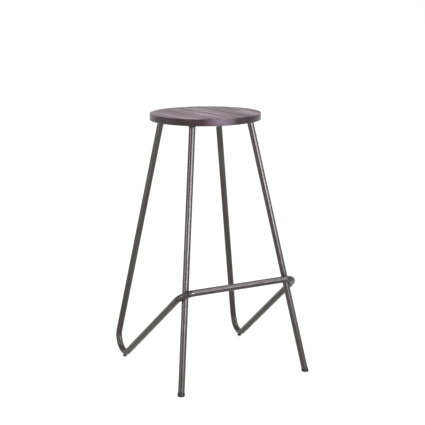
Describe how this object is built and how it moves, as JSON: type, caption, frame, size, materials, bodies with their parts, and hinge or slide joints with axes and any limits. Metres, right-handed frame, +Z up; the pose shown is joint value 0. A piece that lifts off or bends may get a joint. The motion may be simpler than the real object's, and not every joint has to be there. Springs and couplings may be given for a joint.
{
  "type": "bar stool",
  "caption": "Backless bar stool: round edge-glued board seat screwed to a welded round-tube frame, with rear legs and footrest bent from one tube.",
  "frame": {"origin": "middle of the stool's outline on the floor", "axes": "+Z up, -Y towards the footrest side, +X to the right as seen from the footrest side"},
  "size_m": [0.44, 0.4549, 0.77],
  "materials": {
    "seat_wood": "dark stained boards, satin",
    "frame_paint": "gunmetal powder coat, semi-gloss",
    "foot_rubber": "black, satin",
    "zinc_screw": "bright zinc plated"
  },
  "bodies": {
    "root": {"seat_board_1": "seat_wood", "seat_board_2": "seat_wood", "seat_board_3": "seat_wood", "seat_board_4": "seat_wood", "seat_board_5": "seat_wood", "seat_board_6": "seat_wood", "seat_board_7": "seat_wood", "seat_board_8": "seat_wood", "mounting_ring": "frame_paint", "seat_screws": "zinc_screw", "ring_welds": "frame_paint", "leg_loop": "frame_paint", "front_leg_left": "frame_paint", "front_leg_right": "frame_paint", "corner_weld_left": "frame_paint", "corner_weld_right": "frame_paint", "foot_cap_left": "foot_rubber", "foot_cap_right": "foot_rubber", "rear_glide_left": "foot_rubber", "rear_glide_right": "foot_rubber"}
  },
  "joints": []
}
